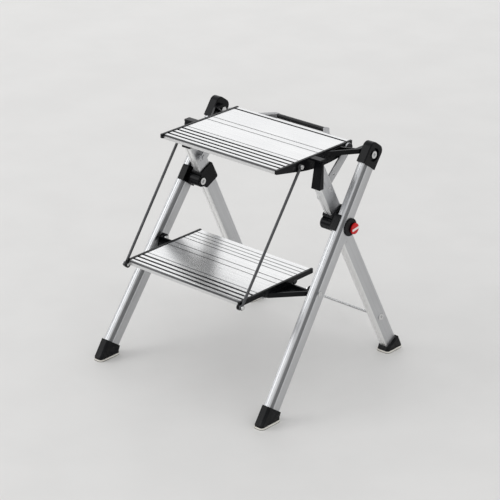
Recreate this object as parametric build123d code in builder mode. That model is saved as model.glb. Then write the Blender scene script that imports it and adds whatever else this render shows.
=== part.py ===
"""Folding two-step stool: crossed leg frames, two hinged treads, tie rods, stays and a lock button.

The right-hand side is modelled, and the left-hand side is its mirror image about the middle plane.
Millimetres. X runs across the stool, the lower tread is at the front (-Y), and the floor is Z = 0.
"""

import os
from math import atan2, cos, degrees, radians, sin, tan

from build123d import *

os.makedirs("parts", exist_ok=True)

# Heights and slopes of the open stool
platform_height = 450
step_rise = 225
front_leg_angle = 54.5
rear_leg_angle = 63.3
leg_splay = 1.8

# Places of the hinges
top_hinge_below_platform = 13
fold_pivot_drop = 147
fold_pivot_offset = 20.5
rod_pin_forward = 146
rod_pin_rise = 4
stay_pin_forward = 10
stay_pin_rise = 4
stay_pivot_rise = 48
fold_travel = 56

# Front leg tube
front_leg_beside_plate = 47.5
front_leg_width = 14
front_leg_depth = 35.5
front_leg_wall = 2.4
front_leg_corner = 3
side_groove_width = 10
side_groove_depth = 1.4
side_groove_forward = 10
face_groove_width = 1.6
face_groove_depth = 0.7
face_groove_spacing = 5
front_tube_above_hinge = -14
front_rim_drop = 503
front_tube_in_boot = 11

# Rear leg tube
rear_leg_beside_plate = 21.5
rear_leg_width = 18.5
rear_leg_depth = 30.5
rear_leg_wall = 2
rear_leg_corner = 3
rear_face_groove_width = 5
rear_face_groove_depth = 0.8
rear_rim_drop = 346
rear_tube_in_boot = 5
rear_tube_rise = 140

# Boots and soles
boot_wall = 3
boot_edge = 5
sole_thickness = 3.6
sole_lip = 1.5
sole_corner = 9
boot_shoulder = 4
front_toe_setback = 5
front_heel_flare = 9
front_sole_width = 24
rear_toe_flare = 9
rear_heel_setback = 1.5
rear_sole_width = 32
rear_sole_outward = 4

# Top cap of a front leg
cap_width = 19
cap_wall = 2.5
cap_head = 22
cap_skirt = 24
cap_top_radius = 13
cap_edge = 2
cap_recess_radius = 13
cap_recess_depth = 4
cap_boss_radius = 10
cap_boss_height = 0.6

# Wedge cap of a rear leg
wedge_height = 52
wedge_setback = 7.4
wedge_front = 5.6
wedge_top = 3.5
wedge_width = 19.5
wedge_edge = 1.5
nose_below_platform = 4
nose_slope_run = 14
nose_slope_drop = 11
plug_length = 90
cap_rivet_rises = (61, 70)
cap_rivet_rearward = 5

# Crossing hinge
plate_thickness = 5
plate_above_pivot = 20
plate_below_pivot = 12.5
plate_corner = 13
plate_boss_radius = 10
plate_boss_height = 2.3
plate_rivet_rise = 14
plate_rivet_spread = 9
wrap_over = 9.5
wrap_thickness = 2.2
wrap_corner = 5
hinge_face_gap = 0.3
sleeve_wall = 3.5
sleeve_above_pivot = 18.5
sleeve_below_pivot = 22
sleeve_corner = 5
sleeve_edge = 1.5
sleeve_boss_radius = 12
bush_wall = 2
bolt_recess_radius = 9
bolt_recess_depth = 2.5

# Lock of the crossing hinge, on the right only
lock_behind_leg = 5.05
lock_rise = 8.4
lock_boss_in_leg = 4.25
lock_boss_rise = 7
lock_boss_radius = 17.3
lock_boss_proud = 2.4
lock_boss_edge = 1.2
button_radius = 10.8
button_gap = 0.3
button_stand_off = 1.2
button_thickness = 3
button_edge = 1.5
grip_bar_width = 4
grip_bar_height = 1.2
grip_bar_turn = -82
lock_pin_radius = 3
lock_pin_in_button = 2
lock_pin_gap = 1.2
spring_wire = 0.6
spring_radius = 3.75
spring_gap = 0.25
spring_seat = 6.4
spring_turns = 5

# Treads
tread_half_length = 140
end_plate_thickness = 4.5
top_tread_depth = 210
top_tread_behind_hinge = 4.7
lower_tread_depth = 201
lower_tread_behind_hinge = 56.6
front_lip_height = 9
top_rear_lip_height = 22
lower_rear_lip_height = 9
skin = 4
lip_wall = 3
lip_return = 14
nose_radius = 5
rib_wall = 2.4
rib_height = 15
rib_flange = 14
groove_depth = 2.4
groove_width = 5.4
fine_groove_width = 2
front_groove_pitch = 12.8
rear_groove_pitch = 12
middle_groove_spacing = 16.5
first_groove = 12
first_rear_groove = 15
top_front_groove_count = 4
lower_front_groove_count = 3
lower_rear_groove_count = 4
top_middle_line = 118
lower_middle_line = 105
screw_port_radius = 4.4
screw_port_below = 8.5
top_screw_setbacks = (44, 105, 184)
lower_screw_setbacks = (70, 150)
screw_radius = 2
screw_head_radius = 3.6
screw_length = 16

# End plates
plate_above_tread = 1
plate_past_tread = 4
plate_tip_depth = 8
top_plate_end_depth = 17
top_plate_middle_depth = 26
lower_plate_depth = 9.5
screw_pad_radius = 6
knob_radius = 6
ledge_width = 25
ledge_depth = 14
ledge_thickness = 4
ledge_gap = 0.3
arm_height = 9
arm_web = 3
arm_rim = 3.5
knuckle_radius = 9
top_knuckle_length = 8.2
lower_knuckle_length = 8.6
top_arm_front = 72
top_arm_back = 30
top_arm_side = 20
stay_lane = 8
lower_arm_front = 70
lower_arm_back = 7
lower_arm_side = 14
lower_arm_rise = 5

# Pins, bolts, rods and bars
running_clearance = 0.05
bolt_radius = 4
bolt_head_radius = 7
bolt_head_height = 4
bolt_socket_radius = 3.4
nut_radius = 6.5
nut_height = 3.6
washer_radius = 8
washer_thickness = 0.9
pin_radius = 3
pin_head_radius = 5
pin_head_height = 2
rod_radius = 2.5
rod_eye_radius = 5
rod_eye_width = 4.4
rod_pin_head_radius = 4
rod_edge = 1.6
rod_pin_lane = 0.6
stay_width = 18
stay_thickness = 3
stay_pin_lane = 1.7
stay_head_height = 1.3
stay_foot_head_height = 0.9
stay_slack = 3.7
stay_spare_hole_radius = 2.5
stay_spare_hole_along = 48
stay_head_radius = 8.5
rivet_radius = 1.6
rivet_head_radius = 2.6
rivet_head_height = 1
cross_rod_radius = 2.5
cross_rod_below_pivot = 273
cross_rod_washer_radius = 7
cross_rod_washer_height = 1.5

# Carry handle
handle_half_length = 64
handle_reach = 23
grip_height = 9
grip_depth = 8
grip_edge = 3
handle_below_platform = 1
bracket_foot_half_span = 90
bracket_foot = 16
bracket_wall = 3
bracket_end = 6
bracket_screw_below = 16

# Directions along and across the legs in the side view, as Y and Z
front_along = Vector(0, cos(radians(front_leg_angle)), sin(radians(front_leg_angle)))
front_across = Vector(0, sin(radians(front_leg_angle)), -cos(radians(front_leg_angle)))
rear_along = Vector(0, -cos(radians(rear_leg_angle)), sin(radians(rear_leg_angle)))
rear_across = Vector(0, sin(radians(rear_leg_angle)), cos(radians(rear_leg_angle)))
splay_shift = tan(radians(leg_splay))
plate_outer_x = tread_half_length + end_plate_thickness
front_leg_top_x = plate_outer_x + front_leg_beside_plate
rear_leg_pivot_x = plate_outer_x + rear_leg_beside_plate

# The origin is the middle of the footprint, so the top hinge stands where the toes and heels balance
top_hinge_height = platform_height - top_hinge_below_platform
front_rim_toe = -front_along * front_rim_drop - front_across * (front_leg_depth / 2 + boot_wall)
toe_reach = -front_rim_toe.Y + (top_hinge_height + front_rim_toe.Z) / tan(radians(front_leg_angle))
toe_reach = toe_reach - front_toe_setback
pivot_from_top = -front_along * fold_pivot_drop
rear_axis_from_top = pivot_from_top + rear_across * fold_pivot_offset
heel_start = rear_axis_from_top + rear_across * (rear_leg_depth / 2 + boot_wall)
heel_reach = heel_start.Y + (top_hinge_height + heel_start.Z) / tan(radians(rear_leg_angle))
heel_reach = heel_reach - rear_heel_setback
top_hinge_y = (toe_reach - heel_reach) / 2

top_hinge = Vector(0, top_hinge_y, top_hinge_height)
fold_pivot = top_hinge + pivot_from_top
rear_axis = top_hinge + rear_axis_from_top
lower_hinge = top_hinge - front_along * (step_rise / sin(radians(front_leg_angle)))
top_rod_pin = top_hinge + Vector(0, -rod_pin_forward, rod_pin_rise)
lower_rod_pin = lower_hinge + Vector(0, -rod_pin_forward, rod_pin_rise)
stay_top = top_hinge + Vector(0, -stay_pin_forward, stay_pin_rise)
stay_foot = rear_axis + rear_along * stay_pivot_rise
lock_rearward = front_leg_depth / 2 + lock_behind_leg
lock_centre = fold_pivot + front_across * lock_rearward + front_along * lock_rise
folded_socket = fold_pivot + (lock_centre - fold_pivot).rotate(Axis.X, fold_travel)
plate_rivet_points = [
    fold_pivot + front_along * plate_rivet_rise + front_across * side * plate_rivet_spread
    for side in (-1, 1)
]
lower_platform_height = platform_height - step_rise
top_front_y = top_hinge.Y + top_tread_behind_hinge - top_tread_depth
lower_front_y = lower_hinge.Y + lower_tread_behind_hinge - lower_tread_depth
stay_x = plate_outer_x + stay_pin_lane
rod_x = plate_outer_x + rod_pin_lane


def side_view(x, origin, across):
    """Plane seen from the right: local X runs across a leg to the rear, local Y up along it."""
    return Plane(origin=(x, origin.Y, origin.Z), x_dir=across, z_dir=(1, 0, 0))


def front_leg_x(drop):
    """Middle of the front leg tube at a distance below the top hinge."""
    return front_leg_top_x + drop * splay_shift


def rear_leg_x(rise):
    """Middle of the rear leg tube at a distance above the fold pivot."""
    return rear_leg_pivot_x - rise * splay_shift


def leg_plane(x, origin, along, splay):
    """Plane square to a splayed leg: local X outwards, local Y to the rear, local Z up the leg."""
    tilt = radians(splay)
    outward = Vector(cos(tilt), 0, 0) + along * sin(tilt)
    upward = Vector(-sin(tilt), 0, 0) + along * cos(tilt)
    return Plane(origin=(x, origin.Y, origin.Z), x_dir=outward, z_dir=upward)


def spot(point):
    """Place of a point in the side view, as the pair that a sketch on Plane.YZ takes."""
    return (point.Y, point.Z)


def export_piece(piece, name):
    """Label one finished piece and write it."""
    piece.part.label = name
    export_step(piece.part, f"parts/{name}.step")


def export_pair(right_piece, name):
    """Write the right-hand piece and its mirror image as two pieces."""
    with BuildPart() as left_piece:
        mirror(right_piece.part, about=Plane.YZ)
    export_piece(right_piece, f"{name}_right")
    export_piece(left_piece, f"{name}_left")


def export_group(right_piece, name):
    """Write like fasteners of both sides as one group of separate solids."""
    with BuildPart() as both_sides:
        add(right_piece.part)
        mirror(right_piece.part, about=Plane.YZ)
    export_piece(both_sides, name)


front_plane = leg_plane(front_leg_top_x, top_hinge, front_along, leg_splay)
rear_plane = leg_plane(rear_leg_pivot_x, rear_axis, rear_along, leg_splay)
front_tube_end = front_rim_drop + front_tube_in_boot
rear_tube_end = rear_rim_drop + rear_tube_in_boot
bolt_hole_radius = bolt_radius + running_clearance
pin_hole_radius = pin_radius + running_clearance
rivet_hole_radius = rivet_radius + running_clearance
through = 2 * tread_half_length
cap_rivet_plane = Plane(rear_plane.origin, x_dir=rear_plane.y_dir, z_dir=rear_plane.x_dir)
cap_rivet_spots = [(cap_rivet_rearward, rise) for rise in cap_rivet_rises]

# Solid outlines of the two tubes, used wherever a piece fits round them
with BuildPart() as front_tube_outline:
    with BuildSketch(front_plane.offset(-front_tube_end)):
        RectangleRounded(front_leg_width, front_leg_depth, front_leg_corner)
    extrude(amount=front_tube_end + front_tube_above_hinge)

with BuildPart() as rear_tube_outline:
    with BuildSketch(rear_plane.offset(-rear_tube_end)):
        RectangleRounded(rear_leg_width, rear_leg_depth, rear_leg_corner)
    extrude(amount=rear_tube_end + rear_tube_rise)

# Front leg: hollow extrusion with a groove down each side and two fine grooves down the front face
with BuildPart() as front_leg:
    add(front_tube_outline.part)
    with BuildSketch(front_plane.offset(-front_tube_end)):
        Rectangle(front_leg_width - 2 * front_leg_wall, front_leg_depth - 2 * front_leg_wall)
        with Locations(
            (front_leg_width / 2, -side_groove_forward),
            (-front_leg_width / 2, -side_groove_forward),
        ):
            Rectangle(2 * side_groove_depth, side_groove_width)
        with Locations((0, -front_leg_depth / 2)):
            with GridLocations(face_groove_spacing, 1, 2, 1):
                Rectangle(face_groove_width, 2 * face_groove_depth)
    extrude(amount=front_tube_end + front_tube_above_hinge, mode=Mode.SUBTRACT)
    with BuildSketch(Plane.YZ):
        with Locations(spot(lower_hinge)):
            Circle(bolt_hole_radius)
    extrude(amount=through, mode=Mode.SUBTRACT)
    with BuildSketch(Plane.YZ):
        with Locations(*[spot(point) for point in plate_rivet_points]):
            Circle(rivet_hole_radius)
    extrude(amount=front_leg_x(fold_pivot_drop), mode=Mode.SUBTRACT)
export_pair(front_leg, "front_leg")

# Rear leg: hollow extrusion with one shallow groove down the front face, cut away for the wedge cap
wedge_bottom = platform_height - nose_below_platform - wedge_height
nose_top = platform_height - nose_below_platform
wedge_rise = (wedge_bottom - rear_axis.Z) / sin(radians(rear_leg_angle))
front_face_y = rear_axis.Y + rear_along.Y * wedge_rise - rear_leg_depth / 2 / sin(radians(rear_leg_angle))
wedge_wall_y = front_face_y + wedge_setback
nose_cut = [
    (wedge_wall_y, nose_top),
    (wedge_wall_y + nose_slope_run, nose_top - nose_slope_drop),
    (wedge_wall_y + 4 * nose_slope_run, nose_top - nose_slope_drop),
    (wedge_wall_y + 4 * nose_slope_run, 2 * platform_height),
    (wedge_wall_y, 2 * platform_height),
]
cross_rod_point = rear_axis - rear_along * cross_rod_below_pivot
with BuildPart() as rear_leg:
    add(rear_tube_outline.part)
    with BuildSketch(rear_plane.offset(-rear_tube_end)):
        Rectangle(rear_leg_width - 2 * rear_leg_wall, rear_leg_depth - 2 * rear_leg_wall)
        with Locations((0, -rear_leg_depth / 2)):
            Rectangle(rear_face_groove_width, 2 * rear_face_groove_depth)
    extrude(amount=rear_tube_end + rear_tube_rise, mode=Mode.SUBTRACT)
    with BuildSketch(Plane.YZ):
        with Locations((wedge_wall_y, wedge_bottom)):
            Rectangle(4 * rear_leg_depth, platform_height, align=(Align.MAX, Align.MIN))
        Polygon(*nose_cut, align=None)
        with Locations(spot(cross_rod_point)):
            Circle(cross_rod_radius + running_clearance)
    extrude(amount=through, mode=Mode.SUBTRACT)
    with BuildSketch(Plane.YZ):
        with Locations(spot(stay_foot)):
            Circle(pin_hole_radius)
    extrude(amount=rear_leg_x(stay_pivot_rise), mode=Mode.SUBTRACT)
    with BuildSketch(cap_rivet_plane):
        with Locations(*cap_rivet_spots):
            Circle(rivet_hole_radius)
    extrude(amount=rear_leg_width, mode=Mode.SUBTRACT)
export_pair(rear_leg, "rear_leg")

# Wedge cap: the black nose that carries the platform's ledge, with a plug inside the tube
wedge_x = rear_leg_x(wedge_rise + wedge_height / 2)
wedge_outline = [
    (front_face_y - wedge_front, wedge_bottom),
    (wedge_wall_y, wedge_bottom),
    (wedge_wall_y, nose_top),
    (wedge_wall_y - wedge_top, nose_top),
]
with BuildPart() as cap_plug:
    with BuildSketch(rear_plane.offset(rear_tube_rise - plug_length)):
        Rectangle(
            rear_leg_width - 2 * (rear_leg_wall + running_clearance),
            rear_leg_depth - 2 * (rear_leg_wall + running_clearance),
        )
    extrude(amount=plug_length)
    with BuildSketch(Plane.YZ):
        with Locations((wedge_wall_y, wedge_bottom)):
            Rectangle(4 * rear_leg_depth, platform_height, align=(Align.MAX, Align.MIN))
        Polygon(*nose_cut, align=None)
    extrude(amount=through, mode=Mode.SUBTRACT)
    with BuildSketch(cap_rivet_plane):
        with Locations(*cap_rivet_spots):
            Circle(rivet_hole_radius)
    extrude(amount=rear_leg_width, mode=Mode.SUBTRACT)

with BuildPart() as rear_leg_cap:
    with BuildSketch(Plane.YZ.offset(wedge_x - wedge_width / 2)):
        Polygon(*wedge_outline, align=None)
    extrude(amount=wedge_width)
    fillet(rear_leg_cap.faces().sort_by(Axis.Y)[0].edges(), wedge_edge)
    add(cap_plug.part)
export_pair(rear_leg_cap, "rear_leg_cap")

with BuildPart() as cap_rivets:
    with BuildSketch(cap_rivet_plane):
        with Locations(*cap_rivet_spots):
            Circle(rivet_radius)
    extrude(amount=rear_leg_width / 2)
    with BuildSketch(cap_rivet_plane.offset(rear_leg_width / 2)):
        with Locations(*cap_rivet_spots):
            Circle(rivet_head_radius)
    extrude(amount=rivet_head_height)
export_group(cap_rivets, "cap_rivets")

# Front boots and soles
front_half = front_leg_depth / 2 + boot_wall
front_rim = top_hinge - front_along * front_rim_drop
toe_y = top_hinge.Y - toe_reach
front_rim_rear = front_rim + front_across * front_half
front_heel_y = front_rim_rear.Y - front_rim_rear.Z / tan(radians(front_leg_angle)) + front_heel_flare
front_foot_x = front_leg_x(front_tube_end)
front_boot_outline = [
    spot(front_rim - front_across * front_half),
    (toe_y + sole_lip, sole_thickness + boot_shoulder),
    (toe_y + sole_lip, sole_thickness),
    (front_heel_y - sole_lip, sole_thickness),
    (front_heel_y - sole_lip, sole_thickness + boot_shoulder),
    spot(front_rim_rear),
]
front_boot_width = front_leg_width + 2 * boot_wall
with BuildPart() as front_foot:
    with BuildSketch(Plane.YZ.offset(front_foot_x - front_boot_width / 2)):
        Polygon(*front_boot_outline, align=None)
    extrude(amount=front_boot_width)
    boot_corners = front_foot.faces().filter_by(Axis.X).edges().filter_by(Axis.Y, reverse=True)
    fillet(boot_corners.filter_by(Axis((0, 0, 0), front_across), reverse=True), boot_edge)
    add(front_tube_outline.part, mode=Mode.SUBTRACT)
export_pair(front_foot, "front_foot")

with BuildPart() as front_sole:
    with BuildSketch(Plane.XY):
        with Locations((front_foot_x, (toe_y + front_heel_y) / 2)):
            RectangleRounded(front_sole_width, front_heel_y - toe_y, sole_corner)
    extrude(amount=sole_thickness)
export_pair(front_sole, "front_sole")

# Rear boots and soles, which flare outwards
rear_half = rear_leg_depth / 2 + boot_wall
rear_rim = rear_axis - rear_along * rear_rim_drop
rear_rim_front = rear_rim - rear_across * rear_half
heel_y = top_hinge.Y + heel_reach
rear_toe_y = rear_rim_front.Y + rear_rim_front.Z / tan(radians(rear_leg_angle)) - rear_toe_flare
rear_foot_inner_x = rear_leg_x(-rear_tube_end) - rear_leg_width / 2 - boot_wall
rear_boot_outline = [
    spot(rear_rim_front),
    (rear_toe_y + sole_lip, sole_thickness),
    (heel_y - sole_lip, sole_thickness),
    (heel_y - sole_lip, sole_thickness + boot_shoulder / 2),
    spot(rear_rim + rear_across * rear_half),
]
rear_boot_width = rear_leg_width + 2 * boot_wall + rear_sole_outward
with BuildPart() as rear_foot:
    with BuildSketch(Plane.YZ.offset(rear_foot_inner_x)):
        Polygon(*rear_boot_outline, align=None)
    extrude(amount=rear_boot_width)
    boot_corners = rear_foot.faces().filter_by(Axis.X).edges().filter_by(Axis.Y, reverse=True)
    fillet(boot_corners.filter_by(Axis((0, 0, 0), rear_across), reverse=True), boot_edge)
    add(rear_tube_outline.part, mode=Mode.SUBTRACT)
export_pair(rear_foot, "rear_foot")

with BuildPart() as rear_sole:
    with BuildSketch(Plane.XY):
        with Locations((rear_foot_inner_x + rear_boot_width / 2, (rear_toe_y + heel_y) / 2)):
            RectangleRounded(rear_sole_width, heel_y - rear_toe_y, sole_corner)
    extrude(amount=sole_thickness)
export_pair(rear_sole, "rear_sole")

# Top cap of a front leg, with a recess outside for the bolt head and a boss inside for the hinge
cap_inner_x = front_leg_top_x - cap_width / 2
cap_outer_x = front_leg_top_x + cap_width / 2
cap_boss_x = cap_inner_x - cap_boss_height
with BuildPart() as leg_cap:
    with BuildSketch(side_view(cap_inner_x, top_hinge, front_across)) as cap_outline:
        with Locations((0, -cap_skirt)):
            Rectangle(
                front_leg_depth + 2 * cap_wall,
                cap_head + cap_skirt,
                align=(Align.CENTER, Align.MIN),
            )
        fillet(cap_outline.vertices().sort_by(Axis.Y)[-2:], cap_top_radius)
    extrude(amount=cap_width)
    fillet(leg_cap.faces().filter_by(Axis.X).edges(), cap_edge)
    with BuildSketch(Plane.YZ.offset(cap_boss_x)):
        with Locations(spot(top_hinge)):
            Circle(cap_boss_radius)
    extrude(amount=cap_boss_height + cap_edge)
    with BuildSketch(Plane.YZ.offset(cap_outer_x - cap_recess_depth)):
        with Locations(spot(top_hinge)):
            Circle(cap_recess_radius)
    extrude(amount=cap_width, mode=Mode.SUBTRACT)
    with BuildSketch(Plane.YZ):
        with Locations(spot(top_hinge)):
            Circle(bolt_hole_radius)
    extrude(amount=through, mode=Mode.SUBTRACT)
    add(front_tube_outline.part, mode=Mode.SUBTRACT)
export_pair(leg_cap, "leg_cap")

# Bolts and nuts of the top hinge: the nut sits in a counterbore of the tread's knuckle
top_knuckle_outer_x = cap_boss_x - hinge_face_gap
top_knuckle_inner_x = top_knuckle_outer_x - top_knuckle_length
nut_inner_x = top_knuckle_inner_x + hinge_face_gap
with BuildPart() as top_hinge_bolts:
    with BuildSketch(Plane.YZ.offset(nut_inner_x)):
        with Locations(spot(top_hinge)):
            Circle(bolt_radius)
    extrude(amount=cap_outer_x - cap_recess_depth - nut_inner_x)
    with BuildSketch(Plane.YZ.offset(cap_outer_x - cap_recess_depth)):
        with Locations(spot(top_hinge)):
            Circle(bolt_head_radius)
    extrude(amount=bolt_head_height)
    with BuildSketch(Plane.YZ.offset(cap_outer_x - cap_recess_depth + bolt_head_height / 2)):
        with Locations(spot(top_hinge)):
            RegularPolygon(bolt_socket_radius, 6)
    extrude(amount=bolt_head_height, mode=Mode.SUBTRACT)
export_group(top_hinge_bolts, "top_hinge_bolts")

with BuildPart() as top_hinge_nuts:
    with BuildSketch(Plane.YZ.offset(nut_inner_x)):
        with Locations(spot(top_hinge)):
            RegularPolygon(nut_radius, 6)
            Circle(bolt_hole_radius, mode=Mode.SUBTRACT)
    extrude(amount=nut_height)
export_group(top_hinge_nuts, "top_hinge_nuts")

# Bolts, nuts and washers of the lower hinge
lower_drop = step_rise / sin(radians(front_leg_angle))
lower_face_x = front_leg_x(lower_drop) - front_leg_width / 2
lower_knuckle_outer_x = lower_face_x - washer_thickness - hinge_face_gap
lower_knuckle_inner_x = lower_knuckle_outer_x - lower_knuckle_length
lower_nut_x = lower_knuckle_inner_x - hinge_face_gap - nut_height
with BuildPart() as lower_hinge_bolts:
    with BuildSketch(Plane.YZ.offset(lower_face_x + front_leg_width / 2)):
        with Locations(spot(lower_hinge)):
            Circle(pin_head_radius)
    extrude(amount=front_leg_width / 2 + pin_head_height)
    add(front_tube_outline.part, mode=Mode.SUBTRACT)
    with BuildSketch(Plane.YZ.offset(lower_nut_x)):
        with Locations(spot(lower_hinge)):
            Circle(bolt_radius)
    extrude(amount=lower_face_x + front_leg_width - lower_nut_x + pin_head_height / 2)
export_group(lower_hinge_bolts, "lower_hinge_bolts")

with BuildPart() as lower_hinge_nuts:
    with BuildSketch(Plane.YZ.offset(lower_nut_x)):
        with Locations(spot(lower_hinge)):
            RegularPolygon(nut_radius, 6)
            Circle(bolt_hole_radius, mode=Mode.SUBTRACT)
    extrude(amount=nut_height)
export_group(lower_hinge_nuts, "lower_hinge_nuts")

with BuildPart() as lower_hinge_washers:
    with BuildSketch(Plane.YZ.offset(lower_face_x - washer_thickness)):
        with Locations(spot(lower_hinge)):
            Circle(washer_radius)
            Circle(bolt_hole_radius, mode=Mode.SUBTRACT)
    extrude(amount=2 * washer_thickness)
    add(front_tube_outline.part, mode=Mode.SUBTRACT)
export_group(lower_hinge_washers, "lower_hinge_washers")

# Pivot plates on the front legs, which wrap round the front face: the right one also carries the lock's
# round boss, which reaches behind the leg and over its outer face
plate_face_x = front_leg_x(fold_pivot_drop) - front_leg_width / 2
plate_inner_x = plate_face_x - plate_thickness
hub_face_x = plate_inner_x - plate_boss_height
sleeve_inner_x = rear_leg_pivot_x - rear_leg_width / 2 - sleeve_wall
sleeve_outer_x = rear_leg_pivot_x + rear_leg_width / 2 + sleeve_wall
leg_outer_x = plate_face_x + front_leg_width
lock_boss_outer_x = leg_outer_x + lock_boss_proud
spring_seat_x = plate_face_x + spring_seat
with BuildPart() as plain_pivot_plate:
    with BuildSketch(side_view(plate_inner_x, fold_pivot, front_across)) as plate_outline:
        with Locations((0, -plate_below_pivot)):
            Rectangle(
                front_leg_depth,
                plate_above_pivot + plate_below_pivot,
                align=(Align.CENTER, Align.MIN),
            )
        fillet(plate_outline.vertices().sort_by(Axis.Y)[-2:], plate_corner)
    extrude(amount=plate_thickness + front_leg_width / 4)
    with BuildSketch(side_view(plate_inner_x, fold_pivot, front_across)) as wrap_outline:
        with Locations((-front_leg_depth / 2 - wrap_thickness, -plate_below_pivot)):
            Rectangle(
                wrap_thickness + plate_corner,
                plate_above_pivot + plate_below_pivot,
                align=(Align.MIN, Align.MIN),
            )
        fillet(wrap_outline.vertices().sort_by(Axis.Y)[-2:], wrap_corner)
    extrude(amount=plate_thickness + wrap_over)
    add(front_tube_outline.part, mode=Mode.SUBTRACT)
    with BuildSketch(Plane.YZ.offset(hub_face_x)):
        with Locations(spot(fold_pivot)):
            Circle(plate_boss_radius)
    extrude(amount=plate_boss_height)
    with BuildSketch(Plane.YZ):
        with Locations(spot(fold_pivot)):
            Circle(bolt_hole_radius)
        with Locations(*[spot(point) for point in plate_rivet_points]):
            Circle(rivet_hole_radius)
    extrude(amount=through, mode=Mode.SUBTRACT)

with BuildPart() as pivot_plate_left:
    mirror(plain_pivot_plate.part, about=Plane.YZ)
export_piece(pivot_plate_left, "pivot_plate_left")

with BuildPart() as lock_boss:
    with BuildSketch(side_view(plate_inner_x, fold_pivot, front_across)):
        with Locations((front_leg_depth / 2 - lock_boss_in_leg, lock_boss_rise)):
            Circle(lock_boss_radius)
    extrude(amount=lock_boss_outer_x - plate_inner_x)
    fillet(lock_boss.faces().sort_by(Axis.X)[-1].edges(), lock_boss_edge)
    add(front_tube_outline.part, mode=Mode.SUBTRACT)
    with BuildSketch(Plane.YZ):
        with Locations(spot(fold_pivot)):
            Circle(bolt_hole_radius)
        with Locations(*[spot(point) for point in plate_rivet_points]):
            Circle(rivet_hole_radius)
    extrude(amount=front_leg_x(fold_pivot_drop), mode=Mode.SUBTRACT)
    with BuildSketch(Plane.YZ):
        with Locations(spot(lock_centre)):
            Circle(lock_pin_radius + running_clearance)
    extrude(amount=through, mode=Mode.SUBTRACT)
    with BuildSketch(Plane.YZ.offset(spring_seat_x)):
        with Locations(spot(lock_centre)):
            Circle(spring_radius + spring_wire / 2 + spring_gap)
    extrude(amount=through, mode=Mode.SUBTRACT)
    with BuildSketch(Plane.YZ.offset(leg_outer_x)):
        with Locations(spot(lock_centre)):
            Circle(button_radius + button_gap)
    extrude(amount=through, mode=Mode.SUBTRACT)

with BuildPart() as pivot_plate_right:
    add(plain_pivot_plate.part)
    add(lock_boss.part)
export_piece(pivot_plate_right, "pivot_plate_right")

with BuildPart() as plate_rivets:
    with BuildSketch(Plane.YZ.offset(plate_inner_x)):
        with Locations(*[spot(point) for point in plate_rivet_points]):
            Circle(rivet_radius)
    extrude(amount=plate_thickness + front_leg_wall)
    with BuildSketch(Plane.YZ.offset(plate_inner_x - rivet_head_height)):
        with Locations(*[spot(point) for point in plate_rivet_points]):
            Circle(rivet_head_radius)
    extrude(amount=rivet_head_height)
export_group(plate_rivets, "plate_rivets")

# Sleeves on the rear legs, with bushes that turn on the pivot bolts: the right one has a socket for the
# lock's pin with the stool open, and one with it folded
bush_radius = bolt_hole_radius + bush_wall
with BuildPart() as plain_sleeve:
    with BuildSketch(side_view(sleeve_inner_x, rear_axis, rear_across)) as sleeve_outline:
        with Locations((0, -sleeve_below_pivot)):
            Rectangle(
                rear_leg_depth + 2 * sleeve_wall,
                sleeve_above_pivot + sleeve_below_pivot,
                align=(Align.CENTER, Align.MIN),
            )
        fillet(sleeve_outline.vertices(), sleeve_corner)
        with Locations((-fold_pivot_offset, 0)):
            Circle(sleeve_boss_radius)
    extrude(amount=sleeve_outer_x - sleeve_inner_x)
    fillet(plain_sleeve.faces().filter_by(Axis.X).edges(), sleeve_edge)
    with BuildSketch(Plane.YZ.offset(sleeve_outer_x - sleeve_edge)):
        with Locations(spot(fold_pivot)):
            Circle(sleeve_boss_radius - sleeve_edge)
    extrude(amount=hub_face_x - hinge_face_gap - sleeve_outer_x + sleeve_edge)
    add(rear_tube_outline.part, mode=Mode.SUBTRACT)
    with BuildSketch(Plane.YZ.offset(sleeve_inner_x)):
        with Locations(spot(fold_pivot)):
            Circle(bolt_recess_radius)
    extrude(amount=bolt_recess_depth, mode=Mode.SUBTRACT)
    with BuildSketch(Plane.YZ):
        with Locations(spot(fold_pivot)):
            Circle(bush_radius + running_clearance)
    extrude(amount=through, mode=Mode.SUBTRACT)

with BuildPart() as hub_sleeve_left:
    mirror(plain_sleeve.part, about=Plane.YZ)
export_piece(hub_sleeve_left, "hub_sleeve_left")

with BuildPart() as hub_sleeve_right:
    add(plain_sleeve.part)
    with BuildSketch(Plane.YZ.offset(rear_leg_pivot_x)):
        with Locations(spot(lock_centre), spot(folded_socket)):
            Circle(lock_pin_radius + button_gap)
    extrude(amount=through, mode=Mode.SUBTRACT)
export_piece(hub_sleeve_right, "hub_sleeve_right")

recess_floor_x = sleeve_inner_x + bolt_recess_depth
with BuildPart() as hub_bushes:
    with BuildSketch(Plane.YZ.offset(recess_floor_x)):
        with Locations(spot(fold_pivot)):
            Circle(bush_radius)
            Circle(bolt_hole_radius, mode=Mode.SUBTRACT)
    extrude(amount=hub_face_x - hinge_face_gap - recess_floor_x)
    add(rear_tube_outline.part, mode=Mode.SUBTRACT)
export_group(hub_bushes, "hub_bushes")

pivot_head_x = recess_floor_x - hinge_face_gap
with BuildPart() as pivot_bolts:
    with BuildSketch(Plane.YZ.offset(pivot_head_x - bolt_head_height)):
        with Locations(spot(fold_pivot)):
            Circle(bolt_head_radius)
            RegularPolygon(bolt_socket_radius, 6, mode=Mode.SUBTRACT)
    extrude(amount=bolt_head_height)
    with BuildSketch(Plane.YZ.offset(pivot_head_x - bolt_head_height / 2)):
        with Locations(spot(fold_pivot)):
            Circle(bolt_radius)
    extrude(amount=plate_face_x - pivot_head_x)
export_group(pivot_bolts, "pivot_bolts")

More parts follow.
